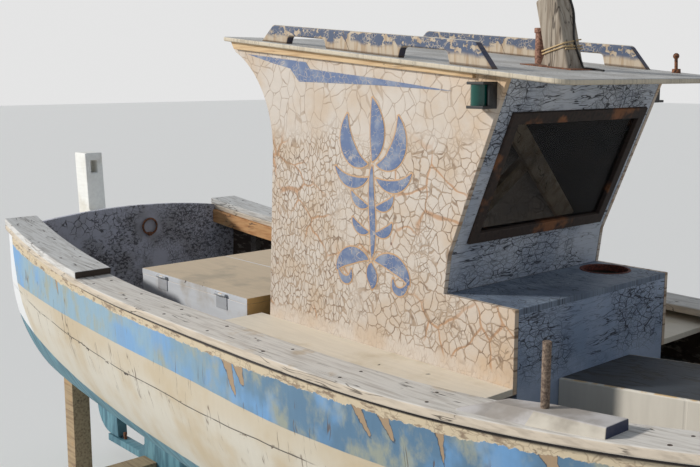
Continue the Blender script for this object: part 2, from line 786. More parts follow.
@dataclass(frozen=True)
class FlakedPaint(Finish):
    """Paint over dark wood that has crazed and partly come away."""

    coat: Colour = paint(176, 178, 187)
    coat_worn: Colour = paint(160, 154, 146)
    under: Colour = paint(32, 29, 30)
    scale: float = 24.0
    loss: float = 0.25
    rough: float = 0.7
    outer: Colour | None = None
    outer_dirt: Colour = paint(176, 168, 154)
    clean_place: tuple[float, float, float] = (0.0, 0.0, -5.0)

    def dress(self, tree: Tree) -> None:
        """Add the nodes of the finish to an empty tree.

        Args:
            tree: the empty tree.
        """
        place = tree.place()
        soft = tree.warp(place, 24.0, 0.04)
        width = tree.noise(place, 14.0, 2.0) * 1.7 + 0.15
        crack = tree.cracks(soft, (self.scale,) * 3, 0.05, 0.012, width)
        crack = crack * tree.patches(place, 11.0, 3.0, 0.44, 0.54)
        small = tree.cracks(soft, (self.scale * 2.3,) * 3, 0.07, 0.02, width)
        zone = tree.patches(place, 4.0, 3.0, 0.42, 0.56)
        fleck = tree.noise(tree.stretch(place, (70.0, 42.0, 80.0)), 1.0, 5.0, 0.65)
        lost = tree.step(fleck, 0.66 - self.loss * 0.3, 0.70 - self.loss * 0.3)
        lost = lost * tree.patches(place, 3.0, 3.0, 0.40, 0.60)
        gone = tree.top(tree.top(crack * 0.9, small * zone * 0.8), lost * 0.85)
        near = tree.vector("SUBTRACT", place, self.clean_place)
        distance = tree.wire("ShaderNodeVectorMath", {"operation": "LENGTH"}, {0: near}, "Value")
        gone = gone * tree.step(distance, 0.055, 0.10)
        tone = tree.mix(tree.patches(place, 6.0, 4.0, 0.46, 0.70), self.coat, self.coat_worn)
        tone = tree.mix(gone * 0.9, tone, self.under)
        if self.outer:
            outside = tree.step(tree.facing()[0], -0.3, -0.6)
            runs = tree.noise(tree.stretch(place, (9.0, 24.0, 3.0)), 1.0, 5.0)
            plain = tree.mix(tree.step(runs, 0.46, 0.72) * 0.8, self.outer, self.outer_dirt)
            plain = tree.shade(plain, 0.86 + fleck * 0.26)
            chip = tree.step(fleck, 0.66, 0.69) * tree.patches(place, 5.0, 3.0, 0.48, 0.60)
            chip = tree.top(chip, crack * tree.step(small, 0.1, 0.4) * 0.6)
            tone = tree.mix(outside, tone, tree.mix(chip * 0.8, plain, self.under))
            gone = gone * (1 - outside) + chip * outside
        tree.surface(tone, self.rough, gone * -0.0012 + tree.noise(place, 90.0, 2.0) * 0.0003)


@dataclass(frozen=True)
class Dusty(Finish):
    """Plain paint with dirt, faint brush marks and small chips."""

    coat: Colour = paint(214, 206, 188)
    dirt: Colour = paint(168, 150, 124)
    chip: Colour = paint(70, 58, 48)
    top: Colour | None = None
    end: Colour | None = None
    dirt_share: float = 0.5
    chips: float = 0.06
    rough: float = 0.62
    brush: tuple[float, float, float] = (6.0, 60.0, 60.0)

    def dress(self, tree: Tree) -> None:
        """Add the nodes of the finish to an empty tree.

        Args:
            tree: the empty tree.
        """
        place = tree.place()
        ahead, _, up = tree.facing()
        strokes = tree.noise(tree.stretch(tree.warp(place, 5.0, 0.03), self.brush), 1.0, 4.0)
        tone = self.coat
        if self.top:
            tone = tree.mix(tree.step(up, 0.5, 0.8), tone, self.top)
        if self.end:
            tone = tree.mix(tree.step(ahead, 0.5, 0.8), tone, self.end)
        dirt = tree.patches(place, 5.0, 5.0, 0.66 - self.dirt_share * 0.3, 0.86 - self.dirt_share * 0.3)
        tone = tree.mix(dirt * 0.7, tone, self.dirt)
        tone = tree.shade(tone, 0.88 + strokes * 0.24)
        chip = tree.spots(tree.warp(tree.stretch(place, (24.0, 24.0, 30.0)), 2.0, 0.6), 0.16, self.chips)
        tone = tree.mix(chip, tone, self.chip)
        tree.surface(tone, self.rough + dirt * 0.15, strokes * 0.0005 - chip * 0.001)


@dataclass(frozen=True)
class StreakedTop(Finish):
    """Dark dirty deck boards over white sides, with black streaks on top."""

    side: Colour = paint(214, 208, 196)
    top: Colour = paint(42, 50, 60)
    black: Colour = paint(14, 14, 16)
    tan: Colour = paint(206, 176, 132)
    knot: Colour = paint(92, 74, 56)
    edge_y: float = 0.188

    def dress(self, tree: Tree) -> None:
        """Add the nodes of the finish to an empty tree.

        Args:
            tree: the empty tree.
        """
        place = tree.place()
        x, y, _ = tree.split(place)
        up = tree.facing()[2]
        flat = tree.warp(tree.join(x, y), 6.0, 0.08)
        streak = tree.noise(tree.stretch(flat, (5.0, 26.0, 1.0)), 1.0, 3.0)
        marks = tree.step(abs(streak - 0.5), 0.05, 0.015) * tree.patches(flat, 5.0, 3.0, 0.40, 0.55)
        deck = tree.mix(tree.patches(place, 7.0, 4.0, 0.4, 0.65), self.top, tree.shade(self.top, 0.6))
        deck = tree.mix(marks, deck, self.black)
        brush = tree.noise(tree.stretch(place, (50.0, 50.0, 6.0)), 1.0, 3.0)
        wall = tree.shade(self.side, 0.9 + brush * 0.2)
        spots = tree.spots(tree.stretch(place, (9.0, 9.0, 14.0)), 0.12, 0.25)
        wall = tree.mix(spots * 0.8, wall, self.knot)
        edge = tree.step(abs(y), self.edge_y - 0.012, self.edge_y - 0.004)
        lip = tree.mix(tree.patches(place, 30.0, 3.0, 0.45, 0.6), self.side, self.tan)
        tone = tree.mix(tree.step(up, 0.4, 0.9), wall, tree.mix(edge, deck, lip))
        tree.surface(tone, 0.72, brush * 0.0005 - marks * 0.0008)


@dataclass(frozen=True)
class RailPaint(Finish):
    """Cream rails with slate-blue chips above, stained tan wood below and a worn top."""

    cream: Colour = paint(192, 177, 156)
    tan: Colour = paint(172, 148, 120)
    blue: Colour = paint(72, 86, 112)
    night: Colour = paint(30, 40, 70)
    worn: Colour = paint(228, 222, 212)
    foot_line: Colour = paint(80, 62, 48)
    scarf_line: Colour = paint(90, 70, 54)
    scarf_x: float = -0.075
    chips_from: tuple[float, float] = (0.040, 0.056)
    roof: RoofLine = ROOF_LINE

    def dress(self, tree: Tree) -> None:
        """Add the nodes of the finish to an empty tree.

        Args:
            tree: the empty tree.
        """
        place = tree.place()
        x, _, z = tree.split(place)
        ahead, _, up = tree.facing()
        height = z - self.roof.solid(x)
        flat = tree.join(x, z)
        stains = tree.noise(tree.stretch(flat, (60.0, 7.0, 1.0)), 1.0, 4.0)
        tone = tree.mix(tree.step(stains, 0.44, 0.64), self.cream, self.tan)
        chips = tree.noise(tree.stretch(tree.warp(flat, 30.0, 0.02), (26.0, 34.0, 1.0)), 1.0, 4.0)
        zone = tree.step(height + (tree.noise(flat, 8.0, 2.0) - 0.5) * 0.05, *self.chips_from)
        chip = tree.step(chips, 0.43, 0.46) * zone * tree.step(abs(up), 0.9, 0.6)
        crumbs = tree.cracks(tree.warp(place, 40.0, 0.01), (95.0, 95.0, 95.0), 0.10, 0.03)
        crumbs = crumbs * tree.patches(flat, 30.0, 2.0, 0.46, 0.60)
        tone = tree.mix(chip, tone, tree.mix(crumbs * 0.8, self.blue, self.cream))
        speck = tree.spots(tree.stretch(tree.warp(flat, 30.0, 0.02), (60.0, 60.0, 1.0)), 0.22, 0.3) * zone
        tone = tree.mix(speck, tone, self.night)
        tone = tree.mix(tree.step(up, 0.75, 0.95), tone, self.worn)
        tone = tree.mix(tree.step(ahead, 0.45, 0.65) * 0.9, tone, self.night)
        dark_line = tree.step(height - 0.022 + x * 0.012, 0.006, 0.002)
        tone = tree.mix(dark_line * 0.7, tone, self.foot_line)
        scarf = tree.step(abs(x - self.scarf_x + (height - 0.04) * 0.5), 0.0018, 0.0008)
        tone = tree.mix(scarf, tone, self.scarf_line)
        tree.surface(tone, 0.68, chip * 0.0009 + stains * 0.0004)


@dataclass(frozen=True)
class ArtPaint(Finish):
    """Slate-blue paint of the side ornaments, crazed down to the cream."""

    blue: Colour = paint(92, 112, 150)
    pale: Colour = paint(136, 146, 166)
    crack: Colour = paint(190, 178, 166)

    def dress(self, tree: Tree) -> None:
        """Add the nodes of the finish to an empty tree.

        Args:
            tree: the empty tree.
        """
        flat = Face.SIDE.lay(tree)[2]
        soft = tree.warp(flat, 40.0, 0.014)
        cracks = tree.cracks(soft, (60.0, 60.0, 1.0), 0.055, 0.015)
        tone = tree.mix(tree.patches(flat, 18.0, 4.0, 0.42, 0.66), self.blue, self.pale)
        cracks = cracks * tree.patches(flat, 20.0, 2.0, 0.42, 0.56)
        tree.surface(tree.mix(cracks * 0.7, tone, self.crack), 0.6, cracks * -0.0004)


@dataclass(frozen=True)
class Rust(Finish):
    """Rusted iron."""

    light: Colour = paint(150, 96, 62)
    dark: Colour = paint(62, 40, 32)
    bare: Colour = paint(104, 96, 92)
    bare_share: float = 0.3

    def dress(self, tree: Tree) -> None:
        """Add the nodes of the finish to an empty tree.

        Args:
            tree: the empty tree.
        """
        place = tree.place()
        pits = tree.noise(place, 160.0, 5.0)
        tone = tree.mix(tree.step(pits, 0.38, 0.64), self.dark, self.light)
        bare = tree.patches(place, 40.0, 3.0, 0.74 - self.bare_share * 0.4, 0.82 - self.bare_share * 0.4)
        tone = tree.mix(bare, tone, self.bare)
        tree.surface(tone, 0.85 - bare * 0.35, pits * 0.0006, metal=bare * 0.6)


@dataclass(frozen=True)
class Glass(Finish):
    """Dark dusty pane that lets some light through."""

    tint: Colour = paint(10, 13, 18)
    dust: Colour = paint(34, 36, 40)
    clear: float = 0.62

    def dress(self, tree: Tree) -> None:
        """Add the nodes of the finish to an empty tree.

        Args:
            tree: the empty tree.
        """
        place = tree.place()
        smear = tree.noise(tree.stretch(tree.warp(place, 3.0, 0.3), (9.0, 3.0, 9.0)), 1.0, 5.0)
        film = tree.step(smear, 0.42, 0.8)
        tone = tree.mix(film, self.tint, self.dust)
        opacity = (1 - self.clear) + film * 0.12
        tree.surface(tone, 0.12 + film * 0.3, alpha=opacity, settings={"Specular IOR Level": 0.06})


@dataclass(frozen=True)
class Metal(Finish):
    """Dull metal with tarnish."""

    shine: Colour = paint(150, 128, 84)
    tarnish: Colour = paint(84, 92, 74)
    rough: float = 0.45

    def dress(self, tree: Tree) -> None:
        """Add the nodes of the finish to an empty tree.

        Args:
            tree: the empty tree.
        """
        place = tree.place()
        stain = tree.patches(place, 30.0, 4.0, 0.42, 0.62)
        tone = tree.mix(stain, self.shine, self.tarnish)
        pits = tree.noise(place, 200.0, 2.0) * 0.0002
        tree.surface(tone, self.rough + stain * 0.3, pits, metal=1 - stain * 0.7)


@dataclass(frozen=True)
class Floor(Finish):
    """Plain pale floor."""

    tone: Colour = paint(240, 239, 236)
    rough: float = 0.9

    def dress(self, tree: Tree) -> None:
        """Add the nodes of the finish to an empty tree."""
        tree.surface(self.tone, self.rough)


CREAM_SIDE = CrackedSide("cracked_cream")
HULL = HullPaint("hull_paint")
CAP = WeatheredWood("cap_wood", edge_bare=0.6, bare=paint(200, 180, 152))
QUARTER_CAP = WeatheredWood("quarter_cap_wood", pale=paint(214, 213, 210), mid=paint(184, 181, 176),
                            bare_share=0.1, end_dark=1.0)
PAD = Dusty("pad_paint", coat=paint(198, 190, 174), dirt=paint(132, 122, 110), top=paint(198, 194, 192),
            end=paint(40, 48, 76), dirt_share=0.6, chips=0.12)
TIMBER = WeatheredWood("rough_timber", pale=paint(170, 148, 116), mid=paint(132, 110, 84),
                       bare=paint(176, 142, 100))
BRACE = WeatheredWood("brace_wood", pale=paint(226, 206, 178), mid=paint(190, 168, 138),
                      grain=(6.0, 30.0, 30.0))
ORANGE = WeatheredWood("orange_wood", pale=paint(206, 158, 108), mid=paint(176, 122, 76),
                       bare=paint(214, 174, 128))
BATTEN = WeatheredWood("batten_wood", pale=paint(214, 186, 146), mid=paint(186, 150, 108),
                       bare=paint(222, 206, 180))
MAST = WeatheredWood("driftwood", pale=paint(176, 164, 148), mid=paint(132, 118, 102),
                     bare=paint(160, 140, 116), grain=(70.0, 70.0, 5.0))
FRAME = WeatheredWood("dark_frame", pale=paint(48, 36, 30), mid=paint(30, 23, 20), bare=paint(150, 96, 56),
                      bare_share=0.4)
FRONT = GrainCracks("front_cracks", low_z=1.40)
CASING_FRONT = GrainCracks("casing_front_cracks", low_z=1.24, white=paint(168, 182, 204),
                           grey=paint(140, 158, 184))
CASING_TOP = GrainCracks("casing_top_cracks", Face.TOP, white=paint(132, 146, 164), grey=paint(100, 114, 134),
                         density=0.7, low_z=-1.0)
ROOF = GrainCracks("roof_paint", Face.TOP, white=paint(198, 197, 194), grey=paint(170, 168, 164),
                   dark=paint(96, 90, 84), density=0.35, low_z=-1.0, edge=paint(206, 194, 172))
TRANSOM = FlakedPaint("transom_flakes", coat=paint(198, 198, 208), coat_worn=paint(166, 164, 168), loss=0.46,
                      outer=paint(216, 218, 220), clean_place=(-2.24, 0.092, 1.340))
INNER = FlakedPaint("inner_flakes", coat=paint(110, 104, 98), under=paint(40, 32, 28), loss=0.6)
DECK = Dusty("deck_paint", coat=paint(228, 218, 200), dirt=paint(198, 182, 152))
WELL = Dusty("well_paint", coat=paint(110, 112, 112), dirt=paint(74, 68, 60), chips=0.1)
SOLE = Dusty("sole_paint", coat=paint(120, 124, 128), dirt=paint(84, 78, 70))
BOX = Dusty("box_paint", coat=paint(204, 208, 214), dirt=paint(170, 158, 140), top=paint(206, 186, 158),
            end=paint(236, 190, 122))
HINGE = Dusty("hinge_paint", coat=paint(172, 176, 182), dirt=paint(128, 96, 74), chip=paint(92, 60, 44),
              chips=0.3)
HEAD = Dusty("head_paint", coat=paint(238, 238, 233), dirt=paint(212, 206, 192), chips=0.01)
TRUNK = StreakedTop("trunk_paint")
RAIL = RailPaint("rail_paint")
ART = ArtPaint("ornament_paint")
HALO = Dusty("ornament_edge", coat=paint(196, 160, 124), dirt=paint(176, 136, 98), brush=(30.0, 30.0, 30.0),
             chips=0.02)
RUSTY = Rust("rusty_iron")
NAIL = Rust("nail_iron", light=paint(72, 56, 46), dark=paint(34, 28, 26), bare_share=0.0)
PIN = Rust("pin_iron", light=paint(140, 122, 106), dark=paint(88, 72, 62), bare_share=0.1)
RIM = Rust("rim_rust", light=paint(110, 52, 38), dark=paint(56, 26, 22), bare_share=0.0)
PIPE = Rust("rusty_pipe", light=paint(176, 132, 112), dark=paint(110, 78, 64), bare_share=0.0)
BLACK = Dusty("lamp_black", coat=paint(26, 26, 28), dirt=paint(48, 46, 44), rough=0.5)
TWINE = Dusty("twine", coat=paint(206, 178, 132), dirt=paint(150, 120, 82), brush=(160.0, 160.0, 160.0),
              chips=0.0)
PANE = Glass("pane")
BRONZE = Metal("bronze")
STEEL = Metal("shaft_steel", shine=paint(140, 140, 142), tarnish=paint(100, 96, 90))
ENGINE = Dusty("engine_paint", coat=paint(84, 104, 98), dirt=paint(58, 54, 46), rough=0.5)
GREEN_LENS = Dusty("green_lens", coat=paint(8, 76, 66), dirt=paint(4, 40, 36), rough=0.12, chips=0.0)
RED_LENS = Dusty("red_lens", coat=paint(140, 18, 18), dirt=paint(80, 8, 8), rough=0.12, chips=0.0)


SHARP_ANGLE = 40.0
SMOOTH_ANGLE = 35.0
ROUND_ANGLE = 60.0
MERGE_DISTANCE = 2e-5
FLAT_ANGLE = 0.5


def finish_piece(obj: bpy.types.Object, body: str, slot: str, *nodes: str) -> bpy.types.Object:
    """Tie a piece to its body, its slot and the nodes that it stands for, and report it.

    Args:
        obj: the piece.
        body: body that it moves with.
        slot: material slot of the solids.
        nodes: nodes of the solids that it stands for, if any.

    Returns:
        The piece.
    """
    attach(obj, body)
    if nodes:
        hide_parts(*nodes)
    LOG.info("piece %s on %s", obj.name, body)
    return obj


def add_mesh(name: str, shape: bmesh.types.BMesh, finish: Finish, smooth: float = 0.0) -> bpy.types.Object:
    """Turn a bmesh into an object of the scene.

    Args:
        name: name of the piece.
        shape: the bmesh, freed here.
        finish: finish of the piece.
        smooth: angle in degrees under which edges are shaded smooth, or 0 for none.

    Returns:
        The new object.
    """
    mesh = bpy.data.meshes.new(name)
    shape.to_mesh(mesh)
    shape.free()
    mesh.materials.append(finish.material())
    if smooth:
        mesh.shade_smooth()
        mesh.set_sharp_from_angle(angle=math.radians(smooth))
    obj = bpy.data.objects.new(name, mesh)
    bpy.context.scene.collection.objects.link(obj)
    return obj


def round_edges(obj: bpy.types.Object, width: float, segments: int = 2) -> None:
    """Round an object's sharp edges with a modifier.

    Args:
        obj: the object.
        width: width of the rounding.
        segments: faces across it.
    """
    bevel = obj.modifiers.new("worn_edges", "BEVEL")
    bevel.width = width
    bevel.segments = segments
    bevel.limit_method = "ANGLE"
    bevel.angle_limit = math.radians(SHARP_ANGLE)
    bevel.harden_normals = True


def slab(shape: bmesh.types.BMesh, outline: Sequence[Vector], depth: Vector) -> None:
    """Add a closed slab to a bmesh.

    Args:
        shape: the bmesh.
        outline: corners of one face in order.
        depth: from that face to the opposite one.
    """
    near = [shape.verts.new(corner) for corner in outline]
    far = [shape.verts.new(corner + depth) for corner in outline]
    faces = [shape.faces.new(near), shape.faces.new(far[::-1])]
    for index, corner in enumerate(near):
        after = (index + 1) % len(near)
        faces.append(shape.faces.new((near[after], corner, far[index], far[after])))
    bmesh.ops.recalc_face_normals(shape, faces=faces)


def tube(shape: bmesh.types.BMesh, path: Sequence[Vector], radius: float, sides: int = 8,
         closed: bool = False) -> None:
    """Add a round tube along a path to a bmesh, with capped ends unless it is closed.

    Args:
        shape: the bmesh.
        path: points of the tube's middle line.
        radius: radius of the tube.
        sides: faces round it.
        closed: whether its end joins its start.
    """
    rings = []
    count = len(path)
    normal = None
    for index, point in enumerate(path):
        before = path[(index - 1) % count] if closed else path[max(index - 1, 0)]
        after = path[(index + 1) % count] if closed else path[min(index + 1, count - 1)]
        along = (after - before).normalized()
        if normal is None:
            normal = along.orthogonal().normalized()
        normal = (normal - along * normal.dot(along)).normalized()
        across = along.cross(normal)
        ring = []
        for step in range(sides):
            turn = 2 * math.pi * step / sides
            ring.append(shape.verts.new(point + radius * (math.cos(turn) * normal + math.sin(turn) * across)))
        rings.append(ring)
    faces = []
    for index in range(count if closed else count - 1):
        ring, ahead = rings[index], rings[(index + 1) % count]
        for step in range(sides):
            after = (step + 1) % sides
            faces.append(shape.faces.new((ring[step], ring[after], ahead[after], ahead[step])))
    if not closed:
        faces.append(shape.faces.new(rings[0][::-1]))
        faces.append(shape.faces.new(rings[-1]))
    bmesh.ops.recalc_face_normals(shape, faces=faces)


@dataclass
class Dressed:
    """A CAD node shown as a copy of its solid with worn edges and a finish."""

    node: str
    finish: Finish
    edge: float = 0.003
    smooth: float = SMOOTH_ANGLE
    move: Callable[[Vector], Vector] | None = None

    def build(self) -> bpy.types.Object:
        """Copy the node, merge it, round its edges and put the copy in its place.

        Returns:
            The piece that replaces the node.
        """
        shape = bmesh.new()
        shape.from_mesh(frame["nodes"][self.node].data)
        bmesh.ops.remove_doubles(shape, verts=shape.verts, dist=MERGE_DISTANCE)
        bmesh.ops.dissolve_limit(shape, angle_limit=math.radians(FLAT_ANGLE), verts=shape.verts,
                                 edges=shape.edges)
        if self.move:
            for vertex in shape.verts:
                vertex.co = self.move(vertex.co)
        obj = add_mesh(f"dressed_{self.node}", shape, self.finish, self.smooth)
        if self.edge:
            round_edges(obj, self.edge)
        return finish_piece(obj, BODY_OF[self.node], SLOT_OF[self.node], self.node)


@dataclass
class SubAssembly:
    """Pieces of the boat that are built together."""

    pieces: list[Dressed] = field(default_factory=list)

    def build(self) -> None:
        """Dress every solid of the sub-assembly."""
        for piece in self.pieces:
            piece.build()


class Scatter:
    """Repeats a small shape over points with Geometry Nodes."""

    def __init__(self, name: str, shape: bpy.types.Object, finish: Finish, seed: int = 7) -> None:
        """Build the node group.

        Args:
            name: name of the group.
            shape: object to repeat, lying at the origin; removed after use.
            finish: finish of all the copies.
            seed: seed of the turns and sizes.
        """
        self.name = name
        self.shape = shape
        self.finish = finish
        self.seed = seed
        self.group = bpy.data.node_groups.new(name, "GeometryNodeTree")
        self.sockets: dict[str, str] = {}
        self.build_group()

    def socket(self, name: str, kind: str, flow: str = "INPUT") -> None:
        """Add a named input or output to the group.

        Args:
            name: name of the socket.
            kind: type of the socket.
            flow: INPUT or OUTPUT.
        """
        made = self.group.interface.new_socket(name, in_out=flow, socket_type=kind)
        if flow == "INPUT":
            self.sockets[name] = made.identifier

    def node(self, kind: str, settings: dict | None = None, inputs: dict | None = None) -> bpy.types.Node:
        """Make any node of the group.

        Args:
            kind: node type.
            settings: properties, set before the inputs.
            inputs: values or outputs by the socket's name or number.

        Returns:
            The new node.
        """
        made = self.group.nodes.new(kind)
        for key, value in (settings or {}).items():
            setattr(made, key, value)
        for key, value in (inputs or {}).items():
            if isinstance(value, bpy.types.NodeSocket):
                self.group.links.new(value, made.inputs[key])
            else:
                made.inputs[key].default_value = value
        return made

    def build_group(self) -> None:
        """Instances on the points, turned and scaled at random, then made real."""
        self.socket("Geometry", "NodeSocketGeometry")
        self.socket("Shape", "NodeSocketObject")
        self.socket("Material", "NodeSocketMaterial")
        self.socket("Smallest", "NodeSocketFloat")
        self.socket("Seed", "NodeSocketInt")
        self.socket("Geometry", "NodeSocketGeometry", "OUTPUT")
        given = self.node("NodeGroupInput").outputs
        turn = self.node("FunctionNodeRandomValue", {"data_type": "FLOAT"},
                         {2: 0.0, 3: 2 * math.pi, "Seed": given["Seed"]})
        size = self.node("FunctionNodeRandomValue", {"data_type": "FLOAT"},
                         {2: given["Smallest"], 3: 1.0, "Seed": given["Seed"]})
        spin = self.node("ShaderNodeCombineXYZ", inputs={2: turn.outputs[1]})
        shape = self.node("GeometryNodeObjectInfo", inputs={"Object": given["Shape"]})
        placed = self.node("GeometryNodeInstanceOnPoints", inputs={
            "Points": given["Geometry"], "Instance": shape.outputs["Geometry"],
            "Rotation": spin.outputs[0], "Scale": size.outputs[1]})
        real = self.node("GeometryNodeRealizeInstances", inputs={0: placed.outputs[0]})
        painted = self.node("GeometryNodeSetMaterial",
                            inputs={0: real.outputs[0], "Material": given["Material"]})
        self.node("NodeGroupOutput", inputs={0: painted.outputs[0]})

    def build(self, name: str, points: Sequence[Vector], smallest: float = 0.8) -> bpy.types.Object:
        """Repeat the shape at the points and keep the result as a plain mesh.

        Args:
            name: name of the piece.
            points: where the copies stand.
            smallest: least size of a copy.

        Returns:
            The piece.
        """
        base = bpy.data.meshes.new(f"{name}_points")
        base.from_pydata([tuple(point) for point in points], [], [])
        obj = bpy.data.objects.new(name, base)
        bpy.context.scene.collection.objects.link(obj)
        modifier = obj.modifiers.new("repeat", "NODES")
        modifier.node_group = self.group
        values = {"Shape": self.shape, "Material": self.finish.material(), "Smallest": smallest,
                  "Seed": self.seed}
        for key, value in values.items():
            modifier[self.sockets[key]] = value
        bpy.context.view_layer.update()
        graph = bpy.context.evaluated_depsgraph_get()
        made = bpy.data.meshes.new_from_object(obj.evaluated_get(graph))
        obj.modifiers.clear()
        obj.data = made
        bpy.data.meshes.remove(base)
        return obj

    def clear(self) -> None:
        """Remove the pattern object."""
        bpy.data.objects.remove(self.shape)


@dataclass
class Hull(SubAssembly):
    """Planking, backbone, transom, caps and the nails in them."""

    beam_x: float = 0.1
    half_widest: float = 0.831
    half_stern: float = 0.657
    bow_end_x: float = 2.74
    half_bow: float = 0.04
    cap_thick: float = 0.028
    overhang: float = 0.015
    quarter_fore_x: float = -1.302
    nail_aft_x: float = -2.148
    nail_step: float = 0.31
    nail_stray: float = 0.03
    nail_insets: tuple[float, float] = (0.035, 0.115)
    pad_x: tuple[float, float] = (0.74, 1.18)
    inner_nails_end_x: float = 2.0
    nails_end_x: float = 2.2
    nail_head: tuple[float, float, float] = (0.0070, 0.0062, 0.0022)
    nail_sink: float = 0.0004
    nail_seed: int = 4
    pieces: list[Dressed] = field(default_factory=lambda: [
        Dressed("topside_port", HULL, 0.0),
        Dressed("topside_starboard", HULL, 0.0),
        Dressed("bottom_planking", HULL, 0.0),
        Dressed("keel", HULL, 0.004),
        Dressed("stem", HULL, 0.006),
        Dressed("transom", TRANSOM, 0.002),
        Dressed("gunwale_cap_port", CAP, 0.008),
        Dressed("gunwale_cap_starboard", CAP, 0.008),
        Dressed("quarter_caps", QUARTER_CAP, 0.005),
        Dressed("inwales", ORANGE, 0.003),
        Dressed("ribs", INNER, 0.003),
    ])

    def half_beam(self, x: float, out: float = 0.0) -> float:
        """Work out the half breadth at the sheer.

        Args:
            x: place along the boat.
            out: how far outside the planking.

        Returns:
            The half breadth there.
        """
        end_x, end = self.bow_end_x, self.half_bow
        if x < self.beam_x:
            end_x, end = SHEER.transom_x, self.half_stern
        run, fall = abs(self.beam_x - end_x), self.half_widest - end
        radius = (run**2 + fall**2) / (2 * fall)
        return self.half_widest - radius + math.sqrt((radius + out) ** 2 - (x - self.beam_x) ** 2)

    def nail_points(self) -> list[Vector]:
        """Place pairs of nails along both caps, but not under the pads or at the quarter caps' ends.

        Returns:
            Where the nail heads lie.
        """
        chance = random.Random(self.nail_seed)
        pad_aft, pad_fore = self.pad_x
        outer = self.nail_insets[0]
        points = []
        x = self.nail_aft_x
        while x < self.nails_end_x:
            for inset in self.nail_insets:
                place = x + chance.uniform(-self.nail_stray, self.nail_stray)
                lift = self.cap_thick * (2 if place < self.quarter_fore_x else 1)
                if abs(place - self.quarter_fore_x) < self.nail_stray or pad_aft < place < pad_fore:
                    continue
                if place < self.inner_nails_end_x or inset == outer:
                    y = self.half_beam(place, self.overhang - inset)
                    height = SHEER.height(place) + lift - self.nail_sink
                    points += [Vector((place, y, height)), Vector((place, -y, height))]
            x += self.nail_step
        return points

    def build_nails(self) -> None:
        """Dark nail heads sunk into the caps."""
        shape = bmesh.new()
        foot, top, depth = self.nail_head
        bmesh.ops.create_cone(shape, cap_ends=True, segments=10, radius1=foot, radius2=top, depth=depth)
        scatter = Scatter("nail_heads", add_mesh("nail_pattern", shape, NAIL), NAIL)
        nails = scatter.build("cap_nails", self.nail_points())
        scatter.clear()
        finish_piece(nails, "hull", "rusty_iron")

    def build(self) -> None:
        """Build every piece of the hull."""
        super().build()
        self.build_nails()


@dataclass
class Cockpit(SubAssembly):
    """Sole, engine box with its lids, and the mooring ring."""

    pieces: list[Dressed] = field(default_factory=lambda: [
        Dressed("cockpit_sole", SOLE, 0.0),
        Dressed("bulkheads", DECK, 0.0),
        Dressed("engine_box", BOX, 0.003),
        Dressed("lid_port", BOX, 0.005),
        Dressed("lid_starboard", BOX, 0.005),
        Dressed("lid_hinges", HINGE, 0.0005),
        Dressed("engine", ENGINE, 0.012),
        Dressed("engine_beds", INNER, 0.003),
    ])
    ring_place: tuple[float, float, float] = (-2.226, 0.092, 1.340)
    ring_r: float = 0.041
    wire_r: float = 0.0055
    ring_steps: int = 40
    staple: float = 0.018
    staple_back: float = 0.005

    def build_ring(self) -> None:
        """Round mooring ring on its staple."""
        shape = bmesh.new()
        centre = Vector(self.ring_place)
        path = []
        for step in range(self.ring_steps):
            turn = 2 * math.pi * step / self.ring_steps
            path.append(centre + self.ring_r * Vector((0.0, math.cos(turn), math.sin(turn))))
        tube(shape, path, self.wire_r, 10, closed=True)
        staple = centre + Vector((-self.staple_back, 0.0, -self.ring_r))
        bmesh.ops.create_cube(shape, size=self.staple, matrix=Matrix.Translation(staple))
        ring = add_mesh("mooring_ring", shape, RUSTY, SHARP_ANGLE)
        finish_piece(ring, "hull", "rusty_iron", "transom_ring")

    def build(self) -> None:
        """Build every piece of the cockpit."""
        super().build()
        self.build_ring()


@dataclass(frozen=True)
class Leaf:
    """A tapering painted stroke along a curve of four control points, in metres."""

    path: tuple[tuple[float, float], ...]
    width: float
    blunt: float = 0.8
    least_half: float = 0.0004

    def outline(self, grow: float, steps: int = 22) -> list[tuple[float, float]]:
        """Work out the closed outline of the stroke.

        Args:
            grow: how far it is widened all round.
            steps: pieces along its length.

        Returns:
            Points of the outline in order.
        """
        left, right = [], []
        for step in range(steps + 1):
            share = step / steps
            (x, z), (dx, dz) = self.at(share)
            size = math.hypot(dx, dz)
            swell = abs(math.sin(math.pi * share)) ** self.blunt
            half = self.width / 2 * swell + grow + self.least_half
            shift = (-grow if step == 0 else grow if step == steps else 0.0)
            x, z = x + dx / size * shift, z + dz / size * shift
            left.append((x - dz / size * half, z + dx / size * half))
            right.append((x + dz / size * half, z - dx / size * half))
        return left + right[::-1]

    def at(self, share: float) -> tuple[tuple[float, float], tuple[float, float]]:
        """Work out a place on the curve.

        Args:
            share: share of its length.

        Returns:
            Point and direction there.
        """
        rest = 1 - share
        weights = (rest**3, 3 * share * rest**2, 3 * share**2 * rest, share**3)
        slopes = (-3 * rest**2, 3 * rest * (1 - 3 * share), 3 * share * (2 - 3 * share), 3 * share**2)
        point = tuple(sum(w * p[axis] for w, p in zip(weights, self.path)) for axis in (0, 1))
        slope = tuple(sum(w * p[axis] for w, p in zip(slopes, self.path)) for axis in (0, 1))
        return point, slope

    def mirrored(self) -> "Leaf":
        """The same stroke on the other side of the motif's middle line."""
        return Leaf(tuple((-x, z) for x, z in self.path), self.width, self.blunt)


